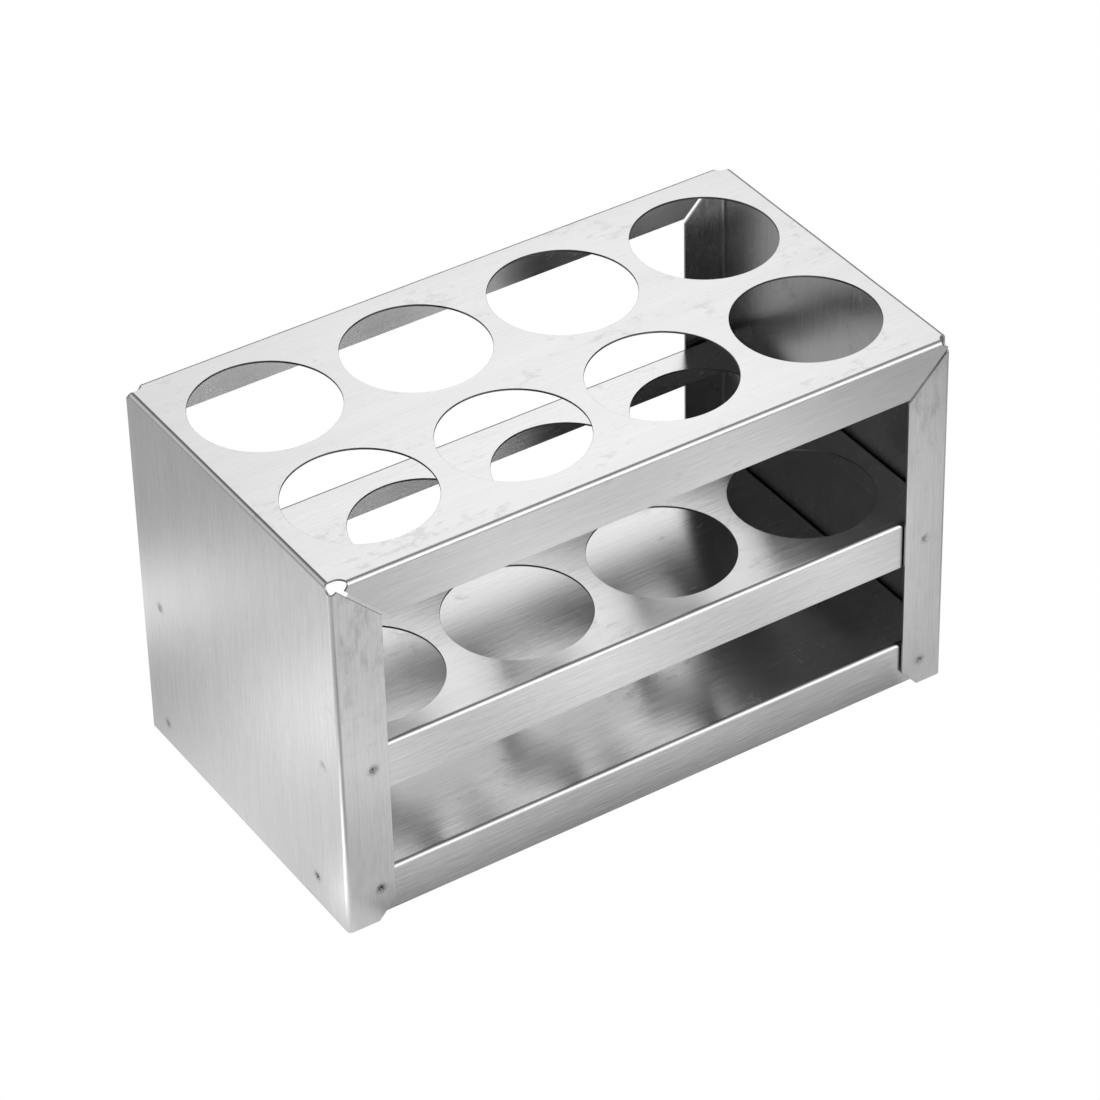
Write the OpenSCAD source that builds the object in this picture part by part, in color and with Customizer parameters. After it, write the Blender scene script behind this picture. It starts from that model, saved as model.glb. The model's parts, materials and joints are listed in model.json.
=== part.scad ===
// Test tube rack folded from thin steel sheet.
//
// One sheet makes the outer shell: a perforated top, a short apron at the
// front and at the rear, and two full-height end panels whose vertical edges
// turn in as narrow side flanges. A perforated middle shelf and a plain
// bottom shelf hang inside it. Spot welds join each shelf to the side
// flanges and to the end panels. Nothing moves.
//
// Millimetres. The origin is the centre of the footprint on the ground,
// +X runs along the length, +Y to the rear and +Z up.

/* [Rack] */
// Overall length, end panel to end panel
rack_w = 187; // [186:0.5:220]
// Overall depth, front flange to rear flange
rack_d = 102.4; // [101:0.2:130]
// Overall height
rack_h = 110; // [100:1:150]

/* [Sheet] */
// Thickness of the sheet, the same in every piece
sheet_t = 0.6; // [0.5:0.1:0.8]
// Inside radius of every bend
bend_r = 0.8; // [0.5:0.1:1]

/* [Tube holes] */
// Diameter of a tube hole
hole_d = 40; // [16:0.5:41]
// Number of holes along the length
hole_cols = 4; // [2:1:4]
// Number of holes across the depth
hole_rows = 2; // [1:1:2]
// Distance between hole centres along the length
pitch_x = 45.1; // [44:0.1:46]
// Distance between hole centres across the depth
pitch_y = 46.4; // [44:0.1:47]
// How far the pattern sits behind the middle of the rack
pattern_shift = 0.7; // [0:0.1:1]

/* [Outer shell] */
// Height of the front apron
apron_front_h = 14.5; // [10:0.1:18]
// Height of the rear apron
apron_rear_h = 12.7; // [10:0.1:18]
// Width of the side flanges that turn in from the end panels
side_flange_w = 13.6; // [12:0.1:18]
// Width of the slot left between a side flange's mitre and the apron's
mitre_slot = 1.35; // [0.6:0.05:2]
// Diameter of the relief cut where three faces meet at a top corner
relief_d = 4.6; // [4.2:0.1:5.4]
// Width of the chamfer at the foot of each side flange
foot_chamfer_w = 5; // [2:0.1:6]
// Height of that chamfer
foot_chamfer_h = 5.6; // [2:0.1:6]

/* [Shelves] */
// Height of the middle shelf's top face above the ground
shelf_z = 55.2; // [40:0.1:70]
// Height of the bottom shelf's top face above the ground
floor_z = 15.1; // [15:0.1:20]
// Height of the middle shelf's front flange
shelf_front_h = 14.2; // [12:0.1:16]
// Height of the bottom shelf's front flange
floor_front_h = 13.8; // [12:0.1:14]
// Height of both shelves' rear flanges
shelf_rear_h = 12.6; // [12:0.1:14]
// Height of both shelves' end flanges
shelf_end_h = 12.6; // [12:0.1:14]
// Gap between a shelf's front or rear flange and the side flange facing it
flange_gap = 0.5; // [0.2:0.1:0.8]
// Gap between a shelf's end flange and the end panel
end_gap = 0.3; // [0.2:0.1:0.6]
// Notch at each corner of a shelf, where its flanges stop short
corner_notch = 0.8; // [0.4:0.1:2]

/* [Spot welds] */
// Diameter of a weld nugget between two sheets
nugget_d = 4; // [3:0.1:5]
// Diameter of the dimple the electrode leaves on the outside
dimple_d = 2.6; // [1.6:0.1:3]
// Depth of that dimple
dimple_depth = 0.2; // [0.1:0.05:0.3]
// Distance of a weld below the top face of its shelf
weld_drop = 7.2; // [6:0.1:8]
// Distance of the flange welds in from the rack's ends
weld_in_x = 8.4; // [6:0.1:9]
// Distance of the end welds in from the rack's front and rear
weld_in_y = 11.2; // [8:0.1:20]

/* [Hidden] */
$fn = 96;

bend_outer_r = bend_r + sheet_t;
// half length and half depth of the shell, to its outside
shell_half_x = rack_w / 2;
shell_half_y = rack_d / 2;
// half length and half depth of a shelf, to the outside of its flanges
shelf_half_x = shell_half_x - sheet_t - end_gap;
shelf_half_y = shell_half_y - sheet_t - flange_gap;
// width of the 45 degree mitre slot measured along X
mitre_run = mitre_slot * sqrt(2);
// how far the mitre cut reaches below the rack's top, past the deepest apron
mitre_cut_drop = 30;
// how far it reaches past the rack's end and above its top
mitre_cut_over = 5;
// centre of the relief ball, in from each of the three faces
relief_inset = 1;
// radius of the ball that presses a dimple of the stated width and depth
dimple_ball_r = (pow(dimple_d / 2, 2) + pow(dimple_depth, 2)) / (2 * dimple_depth);
// how far a cut runs past the face it opens
cut_margin = 1;

shell_color = [0.80, 0.80, 0.81];
shelf_color = [0.72, 0.72, 0.73];
floor_color = [0.62, 0.62, 0.63];
shelf_weld_color = [0.50, 0.48, 0.46];
floor_weld_color = [0.45, 0.43, 0.42];

// ---- placing --------------------------------------------------------------
// Parts are drawn at the right (+X) and rear (+Y), then mirrored.

// side_x is -1 for left, 1 for right; side_y is -1 for front, 1 for rear
module on_side(side_x, side_y) {
    mirror([side_x < 0 ? 1 : 0, 0, 0])
        mirror([0, side_y < 0 ? 1 : 0, 0])
            children();
}

module at_four_corners() {
    for (side_x = [-1, 1], side_y = [-1, 1])
        on_side(side_x, side_y) children();
}

// ---- bent sheet -----------------------------------------------------------

// box between two opposite corners
module box(low, high) {
    translate(low) cube(high - low);
}

// a 90 degree bend around the Z axis, in the +X +Y quadrant, rising along +Z
module bend(length) {
    rotate_extrude(angle = 90) translate([bend_r, 0]) square([sheet_t, length]);
}

// level sheet inside the bends of a part with these outside half sizes
module flat_sheet(half_x, half_y, top_z) {
    box([-half_x + bend_outer_r, -half_y + bend_outer_r, top_z - sheet_t],
        [half_x - bend_outer_r, half_y - bend_outer_r, top_z]);
}

// front or rear edge turned down: its outside is at half_y, it runs from
// -half_length to half_length along X, and height includes the bend
module long_flange(side_y, half_length, half_y, top_z, height) {
    on_side(1, side_y) {
        translate([-half_length, half_y - bend_outer_r, top_z - bend_outer_r])
            rotate([90, 0, 90]) bend(2 * half_length);
        box([-half_length, half_y - sheet_t, top_z - height],
            [half_length, half_y, top_z - bend_outer_r]);
    }
}

// the same for the left or right edge, running along Y
module end_flange(side_x, half_length, half_x, top_z, height) {
    on_side(side_x, 1) {
        translate([half_x - bend_outer_r, half_length, top_z - bend_outer_r])
            rotate([90, 0, 0]) bend(2 * half_length);
        box([half_x - sheet_t, -half_length, top_z - height],
            [half_x, half_length, top_z - bend_outer_r]);
    }
}

// cut for the tube holes in a level sheet whose top face is at top_z
module tube_holes(top_z) {
    for (col = [0 : hole_cols - 1], row = [0 : hole_rows - 1])
        translate([(col - (hole_cols - 1) / 2) * pitch_x,
                   (row - (hole_rows - 1) / 2) * pitch_y + pattern_shift,
                   top_z - sheet_t - cut_margin])
            cylinder(d = hole_d, h = sheet_t + 2 * cut_margin);
}

// ---- outer shell ----------------------------------------------------------

// top sheet and aprons, before the mitres are cut
module top_and_aprons() {
    half_length = shell_half_x - bend_outer_r;
    flat_sheet(shell_half_x, shell_half_y, rack_h);
    long_flange(-1, half_length, shell_half_y, rack_h, apron_front_h);
    long_flange(1, half_length, shell_half_y, rack_h, apron_rear_h);
}

// 45 degree cut at each end of the aprons and their bends, no deeper than
// the bend, so the top sheet stays whole
module apron_mitres() {
    mitre_x = shell_half_x - mitre_run;
    outer_x = shell_half_x + mitre_cut_over;
    low_z = rack_h - mitre_cut_drop;
    high_z = rack_h + mitre_cut_over;
    at_four_corners()
        translate([0, shell_half_y + cut_margin, 0]) rotate([90, 0, 0])
            linear_extrude(height = bend_outer_r + cut_margin)
                polygon([[mitre_x, rack_h],
                         [mitre_x - mitre_cut_drop, low_z],
                         [outer_x, low_z],
                         [outer_x, high_z],
                         [mitre_x, high_z]]);
}

// side flange: its top follows the mitre down from the corner and its inner
// foot is chamfered
module side_flange() {
    inner_x = shell_half_x - side_flange_w;
    translate([0, shell_half_y, 0]) rotate([90, 0, 0])
        linear_extrude(height = sheet_t)
            polygon([[shell_half_x - bend_outer_r, 0],
                     [shell_half_x - bend_outer_r, rack_h - bend_outer_r],
                     [inner_x, rack_h - side_flange_w],
                     [inner_x, foot_chamfer_h],
                     [inner_x + foot_chamfer_w, 0]]);
}

// both end panels with their top bends, vertical bends and side flanges
module end_panels() {
    for (side_x = [-1, 1])
        end_flange(side_x, shell_half_y - bend_outer_r, shell_half_x, rack_h, rack_h);
    at_four_corners() {
        translate([shell_half_x - bend_outer_r, shell_half_y - bend_outer_r, 0])
            bend(rack_h - bend_outer_r);
        side_flange();
    }
}

// relief where the three bends would meet at each top corner
module corner_reliefs() {
    at_four_corners()
        translate([shell_half_x - relief_inset, shell_half_y - relief_inset,
                   rack_h - relief_inset])
            sphere(d = relief_d);
}

// electrode dimples on the outside of the side flanges and end panels
module dimples() {
    ball_out = dimple_ball_r - dimple_depth;
    for (top_z = [shelf_z, floor_z])
        at_four_corners() {
            translate([shell_half_x - weld_in_x, shell_half_y + ball_out, top_z - weld_drop])
                sphere(r = dimple_ball_r);
            translate([shell_half_x + ball_out, shell_half_y - weld_in_y, top_z - weld_drop])
                sphere(r = dimple_ball_r);
        }
}

module outer_shell() {
    color(shell_color)
        difference() {
            union() {
                difference() {
                    top_and_aprons();
                    apron_mitres();
                }
                end_panels();
            }
            tube_holes(rack_h);
            corner_reliefs();
            dimples();
        }
}

// ---- shelves --------------------------------------------------------------

// tray with its four flanges turned down and its corners notched
module tray(top_z, front_h) {
    half_length_x = shelf_half_x - bend_outer_r - corner_notch;
    half_length_y = shelf_half_y - bend_outer_r - corner_notch;
    flat_sheet(shelf_half_x, shelf_half_y, top_z);
    long_flange(-1, half_length_x, shelf_half_y, top_z, front_h);
    long_flange(1, half_length_x, shelf_half_y, top_z, shelf_rear_h);
    for (side_x = [-1, 1])
        end_flange(side_x, half_length_y, shelf_half_x, top_z, shelf_end_h);
}

module middle_shelf() {
    color(shelf_color)
        difference() {
            tray(shelf_z, shelf_front_h);
            tube_holes(shelf_z);
        }
}

module bottom_shelf() {
    color(floor_color) tray(floor_z, floor_front_h);
}

// ---- spot welds -----------------------------------------------------------

// four nuggets between a shelf's front and rear flanges and the side flanges
module flange_nuggets(top_z) {
    at_four_corners()
        translate([shell_half_x - weld_in_x, shelf_half_y + flange_gap, top_z - weld_drop])
            rotate([90, 0, 0]) cylinder(d = nugget_d, h = flange_gap);
}

// four nuggets between a shelf's end flanges and the end panels
module end_nuggets(top_z) {
    at_four_corners()
        translate([shelf_half_x, shell_half_y - weld_in_y, top_z - weld_drop])
            rotate([0, 90, 0]) cylinder(d = nugget_d, h = end_gap);
}

module shelf_flange_welds() {
    color(shelf_weld_color) flange_nuggets(shelf_z);
}

module shelf_end_welds() {
    color(shelf_weld_color) end_nuggets(shelf_z);
}

module floor_flange_welds() {
    color(floor_weld_color) flange_nuggets(floor_z);
}

module floor_end_welds() {
    color(floor_weld_color) end_nuggets(floor_z);
}

outer_shell();
middle_shelf();
bottom_shelf();
shelf_flange_welds();
shelf_end_welds();
floor_flange_welds();
floor_end_welds();
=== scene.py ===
# A stainless rack of folded sheet: an outer shell bent down on all four sides, with a middle
# and a bottom shelf spot-welded inside. It is centred on x = y = 0 and stands on z = 0, with
# its length along x, its right end at +x and its front at -y.
import json
import math
from collections import namedtuple

import bpy
import numpy as np
from mathutils import Matrix, Vector
from mathutils.geometry import delaunay_2d_cdt


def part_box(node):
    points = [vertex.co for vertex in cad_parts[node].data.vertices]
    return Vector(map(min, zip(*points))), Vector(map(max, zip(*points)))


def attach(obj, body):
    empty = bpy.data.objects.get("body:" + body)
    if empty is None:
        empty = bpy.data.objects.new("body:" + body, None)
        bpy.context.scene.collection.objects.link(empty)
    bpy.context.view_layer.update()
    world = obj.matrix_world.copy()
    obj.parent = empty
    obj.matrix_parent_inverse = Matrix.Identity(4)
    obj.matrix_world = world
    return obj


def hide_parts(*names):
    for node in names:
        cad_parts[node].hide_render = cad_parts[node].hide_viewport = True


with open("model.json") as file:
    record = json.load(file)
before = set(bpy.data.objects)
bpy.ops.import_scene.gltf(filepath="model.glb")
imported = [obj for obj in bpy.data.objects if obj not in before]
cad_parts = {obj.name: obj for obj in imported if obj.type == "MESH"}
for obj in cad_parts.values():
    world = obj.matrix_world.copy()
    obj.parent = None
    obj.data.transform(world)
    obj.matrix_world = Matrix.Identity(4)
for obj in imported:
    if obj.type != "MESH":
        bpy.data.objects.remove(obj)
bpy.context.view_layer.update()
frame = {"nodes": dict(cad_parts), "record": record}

# ---------------------------------------------------------------------------
# Sizes in millimetres. The overall sizes, the shelves and the holes come from
# the CAD pieces.
# ---------------------------------------------------------------------------
MM = 0.001


def high_corner(node):
    _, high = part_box(node)
    return np.array(high) / MM


SHELL_HIGH = high_corner("outer_shell")
MIDDLE_HIGH = high_corner("middle_shelf")
BOTTOM_HIGH = high_corner("bottom_shelf")
HALF_X, HALF_Y, HEIGHT = SHELL_HIGH
HOLES = [(m["pos_m"][0] / MM, m["pos_m"][1] / MM, m["dims"]["r_mm"])
         for m in frame["record"]["mounts"] if m["kind"] == "bore"]

THICK = 0.6
BEND_R = 1.4                        # outside bend radius
ARC = BEND_R * math.pi / 2          # length of a bend on the outside skin
BEVEL = 0.07                        # rounding of every cut edge

APRON_FRONT, APRON_REAR = 14.5, 12.7
FOOT_CUT_W, FOOT_CUT_H = 5.0, 5.6   # corner cut at the foot of a side flange

SHELF_FLANGE = 12.6                 # rear and end flanges of both shelves
MIDDLE_FRONT, BOTTOM_FRONT = 14.2, 13.8
SHELF_SHIFT = (-1.5, -1.5)          # the middle shelf's holes sit to the front left
NOTCH_R = 0.8                       # round corner relief of a shelf
SHELF_CUT = 0.8                     # small cut at the foot of a shelf flange

WELD_DROP = 7.2                     # shelf marks, below the shelf's top
WELD_X, WELD_Y = 8.4, 11.2          # and in from the shell's ends and long sides
SHELL_MARK_R = 1.25
SHELF_MARK_R, SHELF_MARK_DEPTH, SHELF_MARK_HEAT = 1.3, 0.12, 0.5

BEND_STEPS = 12                     # facets across a bend
ROW_STEP = 5.0                      # mesh spacing along a bend
FIELD_STEP = 9.0                    # mesh spacing over the flat fields
HOLE_SIDES = 128
MARK_SIDES = 28
MARK_RINGS = (0.12, 0.25, 0.38, 0.5, 0.62, 0.74, 0.86, 0.96, 1.06, 1.16, 1.28, 1.42, 1.6, 1.9)

# Relief slots at the shell's top corners, measured beyond the bends' tangent
# lines. The slots sit a little to the right of the bends, so the ends differ.
Relief = namedtuple("Relief", "near far across radius mitre drop flange")
# Columns: the slot's near and far centres along u, their place along v, radius,
# run of the apron's mitre, drop of the side flange's mitre, side flange width
RELIEF_LEFT_FRONT = Relief(-1.30, 0.60, 1.10, 2.60, 1.95, -0.30, 14.2)
RELIEF_LEFT_REAR = Relief(-0.80, 0.90, 1.10, 2.40, 1.70, -0.20, 13.6)
RELIEF_RIGHT_FRONT = Relief(0.80, 2.90, 1.00, 2.35, -1.65, 2.80, 13.1)
RELIEF_RIGHT_REAR = Relief(-0.40, 1.20, 1.10, 2.40, 1.20, 0.80, 13.6)

# Electrode marks on the shell: end (-1 left, 1 right), side flange (-1 front,
# 1 rear, 0 the end panel), x on a flange or y on a panel, height, strength
SHELL_MARKS = [
    (-1, -1, -83.5, 10.6, 1.0), (-1, -1, -84.0, 49.6, 0.8),
    (1, -1, 86.8, 48.4, 0.5), (1, -1, 86.2, 7.9, 0.7),
    (-1, 0, -36.8, 8.9, 0.9), (-1, 0, -42.9, 49.7, 0.4),
    (-1, 0, 40.6, 46.1, 0.45), (-1, 0, 41.4, 6.6, 0.55),
    (1, 0, -40.6, 8.3, 0.6), (1, 0, -39.5, 48.3, 0.5),
    (1, 0, 39.3, 47.8, 0.7), (1, 0, 40.8, 7.6, 0.5),
    (-1, 1, -84.6, 8.1, 0.6), (-1, 1, -85.4, 47.5, 0.5),
    (1, 1, 84.8, 48.2, 0.8), (1, 1, 85.5, 8.3, 0.6)]

# Spring-back of the folded sheet: shift along x or y at the top, and what is
# added to it by the ground
LEAN_LEFT, LEAN_RIGHT = (-0.10, -0.74), (-0.25, 0.05)
LEAN_FRONT, LEAN_REAR = (0.08, -0.63), (-0.18, 0.16)
# Distances from the centre over which each shift fades in
FADE_END_PANEL = (87.7, 91.5)       # |x|, away from the long sides
FADE_ALONG_SIDE = (60, 78)          # |x|, on the long sides
FADE_TO_SIDE = (45, 49)             # |y|, from the first of these to the second
FADE_LONG_PANEL = (44.0, 48.5)      # |y|, for the shift along y


# ---------------------------------------------------------------------------
# Folding. Each sheet is laid out flat in (u, v), with u along the length, and
# folded by an exact map.
# ---------------------------------------------------------------------------
class Fold:
    """Maps (u, v) to the outside skin's point, its two tangents and its normal."""

    def __init__(self, high, side_flanges):
        self.half_u, self.half_v = high[0] - BEND_R, high[1] - BEND_R   # field between bends
        self.top = high[2]
        self.side_flanges = side_flanges    # whether the end panels carry side flanges

    @staticmethod
    def turn(s):
        """Along a bend: distance out, distance down, and the angle."""
        if s <= 0:
            return s, 0.0, 0.0
        if s < ARC:
            angle = s / BEND_R
            return BEND_R * math.sin(angle), BEND_R * (1 - math.cos(angle)), angle
        return BEND_R, BEND_R + (s - ARC), math.pi / 2

    def __call__(self, u, v):
        past_u, past_v = abs(u) - self.half_u, abs(v) - self.half_v
        sign_u, sign_v = (1 if u >= 0 else -1), (1 if v >= 0 else -1)
        out_x = np.array([sign_u, 0, 0.])
        out_y = np.array([0, sign_v, 0.])
        up = np.array([0, 0, 1.])
        if self.side_flanges and past_v > 0 and past_u > ARC * 0.5:
            # end panel first, then its side flange
            out, down, _ = self.turn(past_u)
            side_out, side_in, angle = self.turn(past_v)
            point = np.array([0, 0, self.top - down]) + out_x * (self.half_u + out)
            point = point + out_y * self.half_v + out_y * side_out - out_x * side_in
            normal = math.cos(angle) * out_x + math.sin(angle) * out_y
            along_u = -up
            along_v = math.cos(angle) * out_y - math.sin(angle) * out_x
        elif past_v > 0:
            out, down, angle = self.turn(past_v)
            point = np.array([u, 0, self.top - down]) + out_y * (self.half_v + out)
            normal = math.cos(angle) * up + math.sin(angle) * out_y
            along_u = out_x
            along_v = math.cos(angle) * out_y - math.sin(angle) * up
        else:
            out, down, angle = self.turn(past_u)
            point = np.array([0, v, self.top - down]) + out_x * (self.half_u + out)
            normal = math.cos(angle) * up + math.sin(angle) * out_x
            along_u = math.cos(angle) * out_x - math.sin(angle) * up
            along_v = out_y
        return point, along_u * sign_u, along_v * sign_v, normal


def smooth(x, low, high):
    t = min(1.0, max(0.0, (x - low) / (high - low)))
    return t * t * (3 - 2 * t)


def lean(point):
    """Shifts a folded point by the sheet's small spring-back."""
    x, y, z = point
    down = (HEIGHT - z) / HEIGHT
    side = smooth(abs(y), *FADE_TO_SIDE)
    weight_x = ((1 - side) * smooth(abs(x), *FADE_END_PANEL)
                + side * smooth(abs(x), *FADE_ALONG_SIDE))
    weight_y = smooth(abs(y), *FADE_LONG_PANEL)
    top_x, growth_x = LEAN_LEFT if x < 0 else LEAN_RIGHT
    top_y, growth_y = LEAN_FRONT if y < 0 else LEAN_REAR
    return np.array([x + weight_x * (top_x + growth_x * down),
                     y + weight_y * (top_y + growth_y * down), z])


Dimple = namedtuple("Dimple", "u v radius depth heat")
DIMPLE_REACH = 2.2                                  # in radii, like the lip's place
LIP_SHARE, LIP_AT, LIP_WIDTH = 0.22, 1.12, 0.2      # share of the depth, place and width


def dimple_depth(dimples, u, v):
    """Depth and slopes of the electrode marks: a cosine cup with a low raised lip."""
    depth = slope_u = slope_v = 0.0
    for mark in dimples:
        x, y = u - mark.u, v - mark.v
        distance = math.hypot(x, y)
        if distance > DIMPLE_REACH * mark.radius:
            continue
        w = distance / mark.radius
        cup = cup_slope = 0.0
        if w < 1:
            cup = mark.depth * 0.5 * (1 + math.cos(math.pi * w))
            cup_slope = -mark.depth * 0.5 * math.pi / mark.radius * math.sin(math.pi * w)
        lip = LIP_SHARE * mark.depth * math.exp(-((w - LIP_AT) / LIP_WIDTH) ** 2)
        lip_slope = lip * (-2 * (w - LIP_AT) / LIP_WIDTH ** 2) / mark.radius
        depth += cup - lip
        if distance > 1e-9:
            slope_u += (cup_slope - lip_slope) * x / distance
            slope_v += (cup_slope - lip_slope) * y / distance
    return depth, slope_u, slope_v


def dimple_heat(dimples, u, v):
    return max((d.heat * math.exp(-(math.hypot(u - d.u, v - d.v) / d.radius / 1.05) ** 2)
                for d in dimples), default=0.0)


# ---------------------------------------------------------------------------
# Flat outlines
# ---------------------------------------------------------------------------
def arc(centre_u, centre_v, radius, angles):
    return [(centre_u + radius * math.cos(q), centre_v + radius * math.sin(q)) for q in angles]


def circle(centre_u, centre_v, radius, sides):
    return arc(centre_u, centre_v, radius, [2 * math.pi * k / sides for k in range(sides)])


def steps(start, end, step):
    count = max(1, int(round((end - start) / step)))
    return [start + (end - start) * k / count for k in range(count + 1)]


def inside(outline, points):
    """Which of the points lie inside the closed outline."""
    corners = np.array(outline)
    x, y = points[:, 0], points[:, 1]
    hit = np.zeros(len(points), bool)
    for (xi, yi), (xj, yj) in zip(corners, np.roll(corners, 1, axis=0)):
        if yi == yj:
            continue
        hit ^= ((yi > y) != (yj > y)) & (x < (xj - xi) * (y - yi) / (yj - yi) + xi)
    return hit


def join_quadrants(rear_right, rear_left, front_left, front_right):
    """Closed outline from four quadrants, each given in positive u and v."""
    return (rear_right + [(-u, v) for u, v in reversed(rear_left)]
            + [(-u, -v) for u, v in front_left] + [(u, -v) for u, v in reversed(front_right)])


def bend_rows(fold, v_reach, u_reach):
    """Lines of the mesh along every bend, both sides."""
    rows = []
    for side in (-1, 1):
        for k in range(BEND_STEPS + 1):
            s = ARC * k / BEND_STEPS
            rows.append([(side * (fold.half_u + s), v) for v in steps(-v_reach, v_reach, ROW_STEP)])
            rows.append([(u, side * (fold.half_v + s)) for u in steps(-u_reach, u_reach, ROW_STEP)])
    return rows


def mark_points(marks):
    points = []
    for mark in marks:
        points.append((mark.u, mark.v))
        for share in MARK_RINGS:
            points += circle(mark.u, mark.v, mark.radius * share, MARK_SIDES)
    return points


def field_points(u_reach, v_reach, holes):
    """Grid over the flat field, kept clear of the holes."""
    return [(u, v) for u in steps(-u_reach, u_reach, FIELD_STEP)
            for v in steps(-v_reach, v_reach, FIELD_STEP)
            if all(math.hypot(u - x, v - y) > radius + 2.5 for x, y, radius in holes)]


# ---------------------------------------------------------------------------
# From flat sheet to solid
# ---------------------------------------------------------------------------
def triangulate(outline, holes, rows, points):
    """Flat points and counter-clockwise triangles of a sheet."""
    verts, edges = [], []

    def chain(line, closed):
        start = len(verts)
        verts.extend(line)
        edges.extend((start + i, start + i + 1) for i in range(len(line) - 1))
        if closed:
            edges.append((len(verts) - 1, start))

    for loop in [outline] + holes:
        chain(loop, True)
    for row in rows:
        chain(row, False)
    verts.extend(points)
    flat, _, triangles, *_ = delaunay_2d_cdt([Vector(p) for p in verts], edges, [], 0, 1e-5, False)
    flat = [(c.x, c.y) for c in flat]
    coords = np.array(flat)
    middles = np.array([coords[list(t)].mean(0) for t in triangles])
    keep = inside(outline, middles)
    for hole in holes:
        keep &= ~inside(hole, middles)
    faces = []
    for triangle, kept in zip(triangles, keep):
        if not kept:
            continue
        corners = [flat[i] for i in triangle]
        area = sum(p[0] * q[1] - q[0] * p[1] for p, q in zip(corners, corners[1:] + corners[:1]))
        if abs(area) < 1e-9:
            continue
        faces.append(list(triangle) if area > 0 else list(triangle)[::-1])
    return flat, faces


def boundary_rings(faces):
    """Closed rings of the edges used once, with the sheet on their left."""
    directed = {(f[i], f[(i + 1) % len(f)]) for f in faces for i in range(len(f))}
    following = {i: j for i, j in directed if (j, i) not in directed}
    rings, seen = [], set()
    for start in sorted(following):
        if start in seen:
            continue
        ring, k = [], start
        while k not in seen:
            seen.add(k)
            ring.append(k)
            k = following[k]
        rings.append(ring)
    return rings


def outward_directions(flat, rings):
    """At each ring point: the mitred outward step, and the normals before and after it."""
    outward, side_normals = {}, {}
    for ring in rings:
        for k, i in enumerate(ring):
            before, here, after = (np.array(flat[j])
                                   for j in (ring[k - 1], i, ring[(k + 1) % len(ring)]))
            d1, d2 = here - before, after - here
            d1 /= np.linalg.norm(d1)
            d2 /= np.linalg.norm(d2)
            normal1, normal2 = np.array([d1[1], -d1[0]]), np.array([d2[1], -d2[0]])
            middle = normal1 + normal2
            middle /= max(np.linalg.norm(middle), 1e-9)
            outward[i] = middle / max(0.5, float(middle @ normal1))
            sharp = normal1 @ normal2 < 0.94
            side_normals[i] = (normal1, normal2) if sharp else (middle, middle)
    return outward, side_normals


# Rounded section of a cut edge: inset from the cut, depth, angle of the normal
ROUND = BEVEL * (1 - math.sqrt(0.5))
EDGE_PROFILE = [
    (BEVEL, 0.0, 0.0), (ROUND, ROUND, 45.0), (0.0, BEVEL, 90.0),
    (0.0, THICK - BEVEL, 90.0), (ROUND, THICK - ROUND, 135.0), (BEVEL, THICK, 180.0)]


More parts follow.
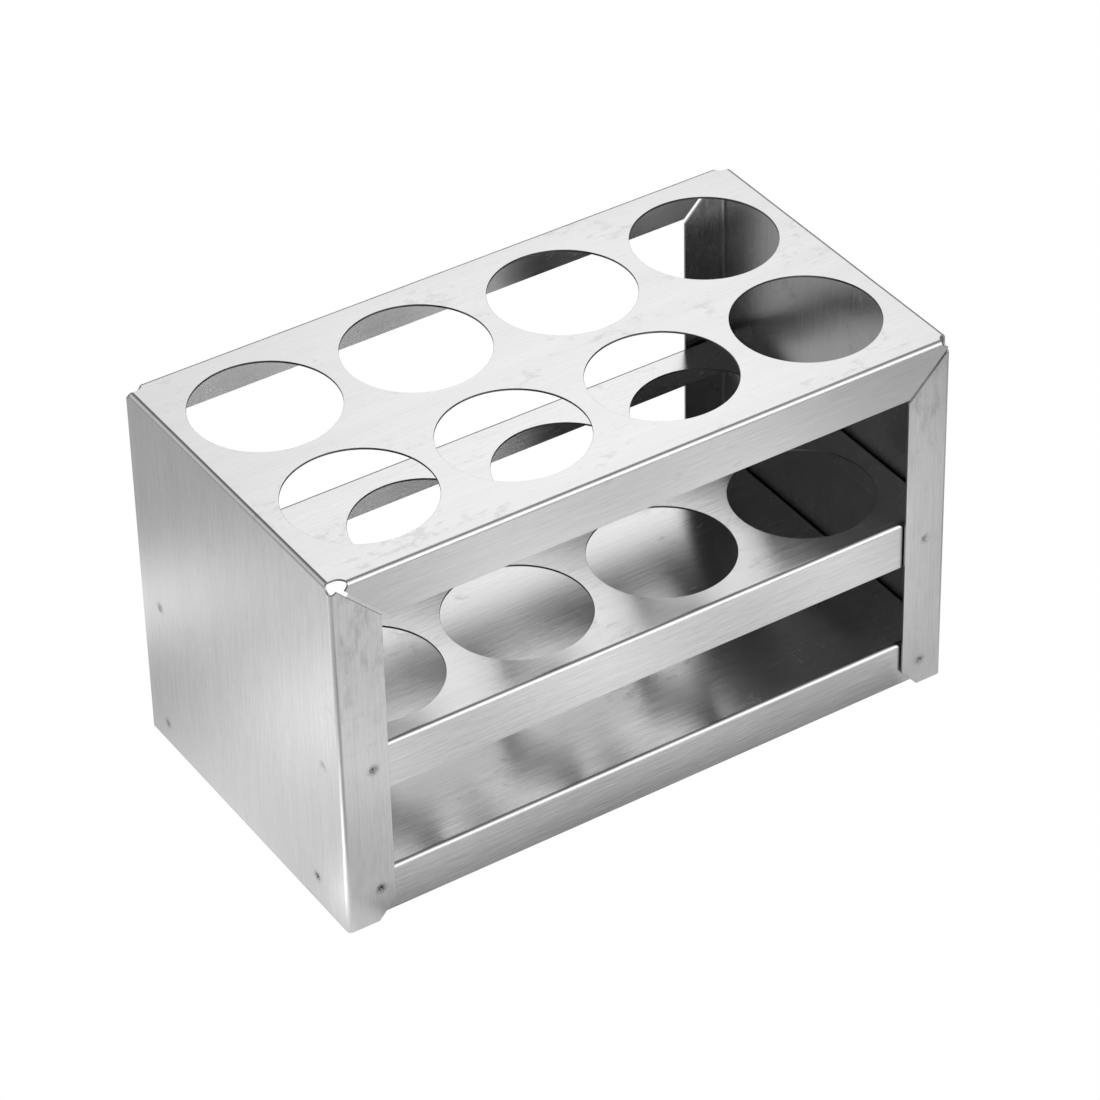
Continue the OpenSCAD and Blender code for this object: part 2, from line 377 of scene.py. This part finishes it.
def sheet(name, outline, holes, rows, points, fold, outer_dimples=(), inner_dimples=()):
    """Folds a flat sheet into a closed solid with rounded cut edges and exact normals."""
    flat, triangles = triangulate(outline, holes, rows, points)
    rings = boundary_rings(triangles)
    outward, side_normals = outward_directions(flat, rings)
    verts, flat_uv, heat = [], [], []
    faces, normals = [], []

    def add_vertex(i, inset, depth, dimples=(), sign=1):
        """Adds flat point i; sign is -1 on the inner skin, whose marks sink outwards."""
        u, v = flat[i]
        if i in outward:
            u -= outward[i][0] * inset
            v -= outward[i][1] * inset
        point, along_u, along_v, normal = fold(u, v)
        sink, slope_u, slope_v = dimple_depth(dimples, u, v)
        point = point - normal * (depth + sign * sink)
        normal = normal + (along_u * slope_u + along_v * slope_v) * sign
        verts.append(lean(point))
        flat_uv.append((u, v))
        heat.append(dimple_heat(dimples, u, v))
        return len(verts) - 1, normal / np.linalg.norm(normal)

    used = sorted({i for f in triangles for i in f})
    outer = {i: add_vertex(i, BEVEL, 0.0, outer_dimples) for i in used}
    inner = {i: add_vertex(i, BEVEL, THICK, inner_dimples, -1) for i in used}
    for skin, sign in ((outer, 1), (inner, -1)):
        for triangle in triangles:
            order = triangle[::sign]
            faces.append([skin[i][0] for i in order])
            normals += [skin[i][1] * sign for i in order]

    def edge_normal(i, which, angle):
        _, along_u, along_v, normal = fold(*flat[i])
        out = side_normals[i][which]
        turn = math.radians(angle)
        mixed = normal * math.cos(turn) + (along_u * out[0] + along_v * out[1]) * math.sin(turn)
        return mixed / np.linalg.norm(mixed)

    material_slots = [0] * len(faces)
    for ring in rings:
        columns = [[outer[i][0]]
                   + [add_vertex(i, inset, depth)[0] for inset, depth, _ in EDGE_PROFILE[1:-1]]
                   + [inner[i][0]] for i in ring]
        for k, i in enumerate(ring):
            after = (k + 1) % len(ring)
            j, near, far = ring[after], columns[k], columns[after]
            for s in range(len(EDGE_PROFILE) - 1):
                angle0, angle1 = EDGE_PROFILE[s][2], EDGE_PROFILE[s + 1][2]
                faces.append([far[s], near[s], near[s + 1], far[s + 1]])
                normals += [edge_normal(j, 0, angle0), edge_normal(i, 1, angle0),
                            edge_normal(i, 1, angle1), edge_normal(j, 0, angle1)]
                # slot 2 is the wall of a hole, slot 1 any other cut edge
                material_slots.append(2 if len(ring) == HOLE_SIDES else 1)

    mesh = bpy.data.meshes.new(name)
    mesh.from_pydata([Vector(p * MM) for p in verts], [], faces)
    mesh.update()
    mesh.uv_layers.new(name="flat").data.foreach_set(
        "uv", [c * MM for f in faces for i in f for c in flat_uv[i]])
    mesh.uv_layers.new(name="spot").data.foreach_set(
        "uv", [c for f in faces for i in f for c in (heat[i], 0.0)])
    for polygon in mesh.polygons:
        polygon.use_smooth = True
    mesh.normals_split_custom_set([tuple(x) for x in normals])
    for polygon, slot in zip(mesh.polygons, material_slots):
        polygon.material_index = slot
    ob = bpy.data.objects.new(name, mesh)
    bpy.context.scene.collection.objects.link(ob)
    return ob


# ---------------------------------------------------------------------------
# The three sheets
# ---------------------------------------------------------------------------
def shell_quadrant(fold, apron, relief):
    """From the foot of the end panel round to the apron's lower edge."""
    near, far, across, radius, mitre, drop, flange = relief
    end = ARC + HEIGHT - BEND_R
    width = ARC + flange - BEND_R
    points = [(end, width - FOOT_CUT_W), (end - FOOT_CUT_H, width), (width + drop, width)]
    # the side flange's mitre u = v + drop meets the slot's far round end
    offset = (far - across - drop) / 2
    half_chord = math.sqrt(radius * radius - 2 * offset * offset)
    hit = (far - offset + half_chord / math.sqrt(2), across + offset + half_chord / math.sqrt(2))
    points.append(hit)
    start = math.atan2(hit[1] - across, hit[0] - far)
    points += arc(far, across, radius,
                  [start + (-math.pi / 2 - start) * i / 16 for i in range(1, 17)])
    # the near round end runs on to the apron's mitre u + v = ARC - mitre
    total = ARC - mitre - near - across
    x = (total - math.sqrt(2 * radius * radius - total * total)) / 2
    hit = (near + x, across + total - x)
    start = -math.pi / 2
    finish = math.atan2(hit[1] - across, hit[0] - near) - 2 * math.pi
    points += arc(near, across, radius, [start + (finish - start) * i / 18 for i in range(19)])
    lower = ARC + apron - BEND_R
    points.append((ARC - mitre - lower, lower))
    return [(fold.half_u + u, fold.half_v + v) for u, v in points]


def build_shell():
    fold = Fold(SHELL_HIGH, side_flanges=True)
    half_u, half_v = fold.half_u, fold.half_v
    outline = join_quadrants(shell_quadrant(fold, APRON_REAR, RELIEF_RIGHT_REAR),
                             shell_quadrant(fold, APRON_REAR, RELIEF_LEFT_REAR),
                             shell_quadrant(fold, APRON_FRONT, RELIEF_LEFT_FRONT),
                             shell_quadrant(fold, APRON_FRONT, RELIEF_RIGHT_FRONT))
    u_reach = half_u + ARC + HEIGHT
    marks = []
    for end, flange, place, z, strength in SHELL_MARKS:
        u = math.copysign(half_u + ARC + (HEIGHT - z) - BEND_R, end)
        v = flange * (half_v + ARC + (HALF_X - abs(place)) - BEND_R) if flange else place
        marks.append(Dimple(u, v, SHELL_MARK_R, 0.10 + 0.12 * strength, strength))
    # the grid keeps clear of the marks and of the end bends
    grid = [(u, v) for u, v in field_points(u_reach - 6, half_v - 4, HOLES)
            if all(math.hypot(u - d.u, v - d.v) > 3.2 for d in marks)
            and not half_u - 1.5 < abs(u) < half_u + ARC + 1.5]
    return sheet("outer_shell_sheet", outline, [circle(*hole, HOLE_SIDES) for hole in HOLES],
                 bend_rows(fold, half_v + 1.0, u_reach), mark_points(marks) + grid, fold,
                 outer_dimples=marks)


def shelf_quadrant(fold, flange):
    """From the end flange's foot round the corner relief to the long flange's foot."""
    end, side = ARC + SHELF_FLANGE - BEND_R, ARC + flange - BEND_R
    points = [(end, -NOTCH_R - SHELF_CUT), (end - SHELF_CUT, -NOTCH_R)]
    points += arc(0, 0, NOTCH_R, [math.radians(-90 - 90 * i / 8) for i in range(9)])
    points += [(-NOTCH_R, side - SHELF_CUT), (-NOTCH_R - SHELF_CUT, side)]
    return [(fold.half_u + u, fold.half_v + v) for u, v in points]


def build_shelf(name, high, front, bores):
    """A flat field with its flanges turned down and a round relief at each corner."""
    fold = Fold(high, side_flanges=False)
    half_u, half_v = fold.half_u, fold.half_v
    rear_corner, front_corner = shelf_quadrant(fold, SHELF_FLANGE), shelf_quadrant(fold, front)
    outline = join_quadrants(rear_corner, rear_corner, front_corner, front_corner)
    marks = []
    for end in (-1, 1):
        for side in (-1, 1):
            for u, v in ((end * (HALF_X - WELD_X), side * (half_v + ARC + WELD_DROP - BEND_R)),
                         (end * (half_u + ARC + WELD_DROP - BEND_R), side * (HALF_Y - WELD_Y))):
                marks.append(Dimple(u, v, SHELF_MARK_R, SHELF_MARK_DEPTH, SHELF_MARK_HEAT))
    return sheet(name, outline, [circle(*bore, HOLE_SIDES) for bore in bores],
                 bend_rows(fold, half_v - NOTCH_R, half_u - NOTCH_R),
                 mark_points(marks) + field_points(half_u - 4, half_v - 4, bores), fold,
                 inner_dimples=marks)


shelf_bores = [(x + SHELF_SHIFT[0], y + SHELF_SHIFT[1], radius) for x, y, radius in HOLES]
shell = build_shell()
middle = build_shelf("middle_shelf_sheet", MIDDLE_HIGH, MIDDLE_FRONT, shelf_bores)
bottom = build_shelf("bottom_shelf_sheet", BOTTOM_HIGH, BOTTOM_FRONT, [])
for ob, node, slot in ((shell, "outer_shell", "shell_steel"),
                       (middle, "middle_shelf", "shelf_steel"),
                       (bottom, "bottom_shelf", "shelf_steel")):
    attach(ob, "root")
    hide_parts(node)


# ---------------------------------------------------------------------------
# Materials
# ---------------------------------------------------------------------------
class Nodes:
    """A short way to write node trees. Inputs are sockets or plain values."""

    def __init__(self, tree):
        self.tree = tree

    def put(self, socket, value):
        if isinstance(value, bpy.types.NodeSocket):
            self.tree.links.new(value, socket)
        elif value is not None:
            socket.default_value = value

    def add(self, kind, *inputs, **props):
        node = self.tree.nodes.new(kind)
        for key, value in props.items():
            setattr(node, key, value)
        for i, value in enumerate(inputs):
            self.put(node.inputs[i], value)
        return node

    def math(self, op, a, b=None, c=None):
        return self.add("ShaderNodeMath", a, b, c, operation=op).outputs[0]

    def mul(self, a, b):
        return self.math("MULTIPLY", a, b)

    def plus(self, a, b):
        return self.math("ADD", a, b)

    def scaled(self, value, gain, offset):
        return self.math("MULTIPLY_ADD", value, gain, offset)

    def layers(self, total, *rows):
        """Adds value * gain + offset for each row of (value, gain, offset)."""
        for value, gain, offset in rows:
            total = self.plus(total, self.scaled(value, gain, offset))
        return total

    def bell(self, distance, factor):
        """exp(factor * distance squared)"""
        return self.math("EXPONENT", self.mul(self.mul(distance, distance), factor))

    def vector(self, op, a, b=None):
        node = self.add("ShaderNodeVectorMath", a, b, operation=op)
        return node.outputs[1 if op in ("DOT_PRODUCT", "DISTANCE") else 0]

    def split(self, value):
        return self.add("ShaderNodeSeparateXYZ", value).outputs

    def uv_map(self, name):
        return self.add("ShaderNodeUVMap", uv_map=name).outputs[0]

    def noise(self, uv, along, across, seed, detail, rough, turn=0.0):
        """Noise on the flat sheet, its grain along by across millimetres, turned in degrees."""
        mapping = self.add("ShaderNodeMapping", uv)
        mapping.inputs["Location"].default_value = (seed * 1.7, seed, 0)
        mapping.inputs["Rotation"].default_value = (0, 0, math.radians(turn))
        mapping.inputs["Scale"].default_value = (1000 / along, 1000 / across, 1)
        node = self.add("ShaderNodeTexNoise", mapping.outputs[0], noise_dimensions="2D")
        node.inputs["Scale"].default_value = 1.0
        node.inputs["Detail"].default_value = detail
        node.inputs["Roughness"].default_value = rough
        return node.outputs[0]

    def ramp(self, value, start, end, low=0.0, high=1.0):
        node = self.add("ShaderNodeMapRange", value, interpolation_type="SMOOTHSTEP")
        for key, number in zip(("From Min", "From Max", "To Min", "To Max"),
                               (start, end, low, high)):
            node.inputs[key].default_value = number
        return node.outputs[0]


def metal(name):
    """A fully metallic material, its node writer and its shader."""
    mat = bpy.data.materials.new(name)
    mat.use_nodes = True
    bsdf = mat.node_tree.nodes["Principled BSDF"]
    bsdf.inputs["Metallic"].default_value = 1.0
    return mat, Nodes(mat.node_tree), bsdf


def finish_metal(net, bsdf, rgb, roughness, height):
    """Connects colour, roughness and a bump whose height is in millimetres."""
    net.put(bsdf.inputs["Base Color"], net.add("ShaderNodeCombineColor", *rgb).outputs[0])
    net.put(bsdf.inputs["Roughness"], roughness)
    bump = net.add("ShaderNodeBump")
    bump.inputs["Strength"].default_value = 1.0
    bump.inputs["Distance"].default_value = MM
    net.put(bump.inputs["Height"], height)
    net.put(bsdf.inputs["Normal"], bump.outputs[0])


STEEL_ROUGH, STEEL_ANISO = 0.23, 0.92


def scratches(net, uv, seed):
    """Hairlines in three directions, each kept to patches."""
    total = None
    for k, turn in enumerate((63.0, -38.0, 12.0)):
        hairs = net.noise(uv, along=22, across=0.22, seed=seed + 20 + 5 * k,
                          detail=1.0, rough=0.4, turn=turn)
        patch = net.noise(uv, along=19, across=19, seed=seed + 40 + 3 * k, detail=1.0, rough=0.5)
        hit = net.mul(net.ramp(hairs, start=0.77, end=0.84), net.ramp(patch, start=0.56, end=0.66))
        total = hit if total is None else net.plus(total, hit)
    return total


def line(net, value, at, width):
    """A soft line where the value is near `at`, in metres."""
    return net.bell(net.plus(value, -at), -1 / width ** 2)


def end_marks(net, uv, seed, abs_u, abs_v, half_u, half_v):
    """Die lines beside the shell's upright bends, and grime on its side flanges."""
    end = net.ramp(abs_u, start=half_u + 0.002, end=half_u + 0.003)
    die = net.plus(line(net, abs_v, at=half_v - 0.0034, width=0.00022),
                   net.mul(line(net, abs_v, at=half_v - 0.0049, width=0.00016), 0.7))
    die = net.plus(die, net.mul(line(net, abs_v, at=half_v + 0.0054, width=0.00020), 0.8))
    wear = net.noise(uv, along=30, across=30, seed=seed + 80, detail=2.0, rough=0.6)
    die = net.mul(net.mul(die, end), net.ramp(wear, start=0.35, end=0.6, low=0.3, high=1.0))
    film = net.noise(uv, along=9, across=4.2, seed=seed + 83, detail=5.0, rough=0.68)
    grime = net.mul(net.ramp(abs_v, start=half_v + 0.0015, end=half_v + 0.004),
                    net.ramp(film, start=0.40, end=0.74))
    fade = net.ramp(abs_u, start=half_u + 0.052, end=half_u + 0.012, low=0.15, high=1.0)
    return die, net.mul(net.mul(grime, fade), end)


def steel(name, seed, base, grain, high, is_shell):
    """Cold-rolled stainless: rolling grain along u, smudges, hairline scratches, dull spots."""
    mat, net, bsdf = metal(name)
    uv = net.uv_map("flat")
    fine = net.noise(uv, along=9, across=0.24, seed=seed, detail=3.0, rough=0.65)
    mid = net.noise(uv, along=32, across=0.8, seed=seed + 3, detail=3.0, rough=0.6)
    wide = net.noise(uv, along=160, across=5.5, seed=seed + 5, detail=2.0, rough=0.5)
    cloud = net.noise(uv, along=26, across=17, seed=seed + 7, detail=4.0, rough=0.6)
    blot = net.noise(uv, along=4.5, across=2.6, seed=seed + 11, detail=4.0, rough=0.65)
    smear = net.ramp(net.mul(cloud, blot), start=0.31, end=0.44)
    scratch = scratches(net, uv, seed)
    heat = net.split(net.uv_map("spot"))[0]
    soot = net.noise(uv, along=0.75, across=0.6, seed=seed + 71, detail=3.0, rough=0.6)
    burn = net.mul(heat, net.ramp(soot, start=0.38, end=0.56, low=0.45, high=1.0))

    # painted shade: a dark line is painted into the colour along the long bends, standing in for
    # the dark reflection on the bends
    half_u, half_v = (high[0] - BEND_R) * MM, (high[1] - BEND_R) * MM
    flat = net.split(net.vector("ABSOLUTE", uv))
    abs_u, abs_v = flat[0], flat[1]
    bend_painted_shade = net.mul(line(net, abs_v, at=half_v + 0.00062, width=0.00040),
                     net.ramp(abs_u, start=half_u + 0.001, end=half_u - 0.001))

    # brightness as layers of (pattern, gain, offset); the burn's offset sets the mean
    tone = net.layers(
        net.scaled(fine, 0.50 * grain, -0.25 * grain),
        (mid, 0.22 * grain, -0.11 * grain), (wide, 0.07, -0.035), (smear, -0.035, 0.0),
        # the last layer is the painted shade along the long bends
        (scratch, -0.10, 0.0), (burn, -1.05, 1.0), (bend_painted_shade, -0.42 if is_shell else -0.55, 0.0))
    rough = net.layers(net.scaled(fine, 0.10, STEEL_ROUGH - 0.05),
                       (mid, 0.05, -0.025), (smear, 0.04, 0.0), (heat, 0.16, 0.0))
    if is_shell:
        die, grime = end_marks(net, uv, seed, abs_u, abs_v, half_u, half_v)
        tone = net.layers(tone, (die, -0.085, 0.0), (grime, -0.24, 0.0))
        rough = net.layers(rough, (grime, 0.10, 0.0))

    # heights in millimetres: grain, the sheet's slight waviness, then scratches and burns
    wave = net.noise(uv, along=55, across=38, seed=seed + 60, detail=1.0, rough=0.4)
    height = net.mul(fine, 0.0016)
    for pattern, rise in ((mid, 0.004), (wide, 0.010), (wave, 0.10),
                          (scratch, -0.002), (burn, -0.03)):
        height = net.plus(height, net.mul(pattern, rise))

    value = net.math("MAXIMUM", net.mul(tone, base), 0.03)
    finish_metal(net, bsdf, (value, value, net.mul(value, 1.004)), rough, height)
    bsdf.inputs["Anisotropic"].default_value = STEEL_ANISO
    bsdf.inputs["Anisotropic Rotation"].default_value = 0.25
    tangent = net.add("ShaderNodeTangent", direction_type="UV_MAP", uv_map="flat")
    net.put(bsdf.inputs["Tangent"], tangent.outputs[0])
    return mat


def cut_edge(name, base):
    """Cut and deburred edge with a fine grain."""
    mat, net, bsdf = metal(name)
    uv = net.uv_map("flat")
    fine = net.noise(uv, along=0.25, across=0.25, seed=4, detail=3.0, rough=0.6)
    slow = net.noise(uv, along=6, across=6, seed=9, detail=2.0, rough=0.5)
    value = net.mul(net.layers(net.scaled(fine, 0.2, 0.9), (slow, 0.16, -0.08)), base)
    finish_metal(net, bsdf, (value, value, value), roughness=net.scaled(fine, 0.16, 0.34),
                 height=net.mul(fine, 0.012))
    return mat


def weld_metal(name):
    """Spot-weld nugget: cast-looking, dull and a little darkened by heat."""
    mat, net, bsdf = metal(name)
    place = net.add("ShaderNodeTexCoord").outputs["Object"]
    grain = net.add("ShaderNodeTexNoise", place)
    grain.inputs["Scale"].default_value = 2200
    grain.inputs["Detail"].default_value = 3
    slow = net.add("ShaderNodeTexNoise", place)
    slow.inputs["Scale"].default_value = 420
    grain = grain.outputs[0]
    value = net.layers(net.scaled(grain, 0.16, 0.26), (slow.outputs[0], 0.2, -0.06))
    finish_metal(net, bsdf, (net.mul(value, 1.03), value, net.mul(value, 0.94)),
                 roughness=net.scaled(grain, 0.2, 0.42), height=net.mul(grain, 0.05))
    return mat


edge = cut_edge("cut_edge", base=0.50)
# painted shade: the walls of the holes are painted nearly black, standing in for the shade inside
# the holes
hole_wall_painted_dark = cut_edge("punched_wall_painted_shade", base=0.15)
# Columns: sheet, its high corner, material, seed, brightness, strength of the grain. The brightness
# is painted light and shade: the middle shelf is painted lighter and the bottom shelf darker than
# the shell, standing in for how each sheet is lit
for ob, high, name, seed, base, grain in (
        (shell, SHELL_HIGH, "shell_steel", 2.3, 0.64, 0.65),
        (middle, MIDDLE_HIGH, "middle_shelf_steel", 31.7, 0.66, 0.9),
        (bottom, BOTTOM_HIGH, "bottom_shelf_steel", 58.9, 0.60, 1.1)):
    ob.data.materials.append(steel(name, seed, base, grain, high, is_shell=ob is shell))
    ob.data.materials.append(edge)
    if ob is not bottom:
        ob.data.materials.append(hole_wall_painted_dark)
nugget = weld_metal("weld_nugget")
for name, ob in frame["nodes"].items():
    if name.endswith("welds"):
        ob.data.materials.clear()
        ob.data.materials.append(nugget)

# ---------------------------------------------------------------------------
# Studio: soft lights round the sky and a pale table with pools of light. The
# camera sees both as plain white.
# ---------------------------------------------------------------------------
# Columns: azimuth (0 behind the rack, 90 to its right) and elevation in
# degrees, sharpness, strength
SKY = [
    (30.3, 31.2, 40, 0.43), (36.6, 43.7, 40, 1.7609), (48.5, 54.9, 40, 0.1201),
    (70, 62.7, 40, 0.12), (100.3, 64, 40, 0.12), (125.6, 58, 40, 0.2),
    (140.2, 47.7, 40, 0.5), (148, 35.4, 40, 0.9), (152.2, 22.4, 40, 1.4),
    (154.1, 9, 40, 1), (154.4, -4.5, 40, 0.5), (45, 5, 8, 0.1038),
    (90, 5, 8, 0.1), (67.5, 35, 8, 0.2), (90, 65, 8, 0.08)]
FILL = [
    (-23.3, 40.3, 40, 0.25), (-35.8, 30.3, 40, 0.4), (-42.8, 17.6, 40, 0.4),
    (-45.5, 3.6, 40, 0.3), (135, 12, 8, 0.35), (180, 12, 8, 0.4),
    (225, 15, 8, 0.55), (270, 12, 8, 0.45), (315, 15, 8, 0.4)]
SKY_BASE = 0.05
# Pools of light and shade on the table: x, y and spread in millimetres, brightness
TABLE = [
    (-60, -115, 24, 0.534), (20, -78, 16, 0.0418), (20, -115, 24, 0.5854),
    (20, -165, 32, 0.5897), (100, -78, 16, 0.1688), (100, -115, 24, 0.4689),
    (100, -165, 32, 0.6602), (180, -78, 16, 0.0499), (180, -115, 24, 0.2205),
    (180, -165, 32, 0.11), (0, -260, 60, 0.1194), (-118, -60, 16, 0.4321),
    (-150, -60, 24, 0.6415), (-118, 20, 16, 0.0025), (-150, 20, 24, 0.62),
    (-200, 20, 36, 0.5986), (-118, 100, 16, 0.62), (-150, 100, 24, 0.1537),
    (-118, 180, 20, 0.2), (-300, -200, 90, 0.011), (-130, -110, 24, 0.2697),
    (-190, -170, 40, 0.3877), (-100, -180, 30, 0.5701), (0, 0, 60, 0.1592),
    (60, 0, 40, 0.5778), (-60, 0, 40, 0.615), (-500, 0, 200, 0.474),
    (-112, -46, 8, 0.9), (-130, -52, 10, 0.7), (-150, -58, 12, 0.4),
    (-115, -85, 14, -0.4), (-135, -125, 26, -0.45), (-175, -190, 40, -0.4)]
TABLE_BASE, TABLE_LEAST = 0.3958, 0.03
SHADE = 0.5              # share of the table's light left under the rack
SHADE_INSET = 14         # the shade starts this far in from the ends
FLOOR_HALF = 6.0         # metres


def add_lobes(net, direction, rows, total):
    for azimuth, elevation, sharpness, strength in rows:
        a, e = math.radians(azimuth), math.radians(elevation)
        axis = (math.sin(a) * math.cos(e), math.cos(a) * math.cos(e), math.sin(e))
        facing = net.vector("DOT_PRODUCT", direction, axis)
        lobe = net.math("EXPONENT", net.scaled(facing, sharpness, -sharpness))
        total = net.scaled(lobe, strength, total)
    return total


def light_path(net, output):
    return net.add("ShaderNodeLightPath").outputs[output]


def build_world():
    world = bpy.data.worlds.new("studio")
    bpy.context.scene.world = world
    world.use_nodes = True
    net = Nodes(world.node_tree)
    direction = net.add("ShaderNodeTexCoord").outputs["Generated"]
    # the fill is dropped for deeper rays, so that the inside stays dark
    shallow = net.math("LESS_THAN", light_path(net, "Ray Depth"), 2.5)
    fill = net.mul(add_lobes(net, direction, FILL, 0.0), shallow)
    total = net.plus(add_lobes(net, direction, SKY, SKY_BASE), fill)
    mix = net.add("ShaderNodeMix", data_type="FLOAT")
    net.put(mix.inputs[0], light_path(net, "Is Camera Ray"))
    net.put(mix.inputs[2], total)
    net.put(mix.inputs[3], 1.0)
    background = world.node_tree.nodes["Background"]
    net.put(background.inputs["Strength"], mix.outputs[0])
    background.inputs["Color"].default_value = (1, 1, 1, 1)


def floor_paper():
    mat = bpy.data.materials.new("floor_paper")
    mat.use_nodes = True
    mat.node_tree.nodes.clear()
    net = Nodes(mat.node_tree)
    place = net.add("ShaderNodeNewGeometry").outputs["Position"]
    glow = TABLE_BASE
    for x, y, spread, brightness in TABLE:
        distance = net.vector("DISTANCE", place, (x * MM, y * MM, 0))
        glow = net.scaled(net.bell(distance, -0.5 / (spread * MM) ** 2), brightness, glow)
    # the shade under and close to the rack
    flat = net.split(net.vector("ABSOLUTE", place))
    past_end = net.mul(net.plus(flat[0], -(HALF_X - SHADE_INSET) * MM), 2.0)
    past_rack = net.math("MAXIMUM", past_end, net.plus(flat[1], -HALF_Y * MM))
    glow = net.mul(net.math("MAXIMUM", glow, TABLE_LEAST),
                   net.ramp(past_rack, start=0.001, end=0.014, low=SHADE, high=1.0))
    lit = net.add("ShaderNodeEmission")
    net.put(lit.inputs["Strength"], glow)
    white = net.add("ShaderNodeEmission")
    net.put(white.inputs["Strength"], 1.0)
    mixed = net.add("ShaderNodeMixShader", light_path(net, "Is Camera Ray"),
                    lit.outputs[0], white.outputs[0])
    output = net.add("ShaderNodeOutputMaterial")
    net.put(output.inputs["Surface"], mixed.outputs[0])
    return mat


def build_floor():
    mesh = bpy.data.meshes.new("floor")
    corners = [(x * FLOOR_HALF, y * FLOOR_HALF, 0) for x, y in ((-1, -1), (1, -1), (1, 1), (-1, 1))]
    mesh.from_pydata(corners, [], [(0, 1, 2, 3)])
    floor = bpy.data.objects.new("floor", mesh)
    bpy.context.scene.collection.objects.link(floor)
    mesh.materials.append(floor_paper())


build_world()
build_floor()

# ---------------------------------------------------------------------------
# Camera
# ---------------------------------------------------------------------------
LENS, SENSOR = 149.94327, 36
# Rotation vector (radians) from the world to axes right, down and forward
VIEW_TURN = Vector((2.1396, -0.648, 0.294))
ANCHOR = np.array([0, 0.7, HEIGHT])                     # a point on the top, and
ANCHOR_SEEN = np.array([-2.972, -48.308, 1174.822])     # its place in those axes


def build_camera():
    data = bpy.data.cameras.new("camera")
    camera = bpy.data.objects.new("camera", data)
    bpy.context.scene.collection.objects.link(camera)
    data.sensor_width = SENSOR
    data.lens = LENS
    data.clip_start, data.clip_end = 0.01, 50
    turn = np.array(Matrix.Rotation(VIEW_TURN.length, 3, VIEW_TURN.normalized()))
    centre = -turn.T @ ANCHOR_SEEN + ANCHOR
    pose = Matrix.Identity(4)
    for i in range(3):
        pose[i] = (turn[0][i], -turn[1][i], -turn[2][i], centre[i] * MM)
    camera.matrix_world = pose
    bpy.context.scene.camera = camera


build_camera()
bpy.context.scene.view_settings.view_transform = "Standard"

bpy.context.view_layer.update()
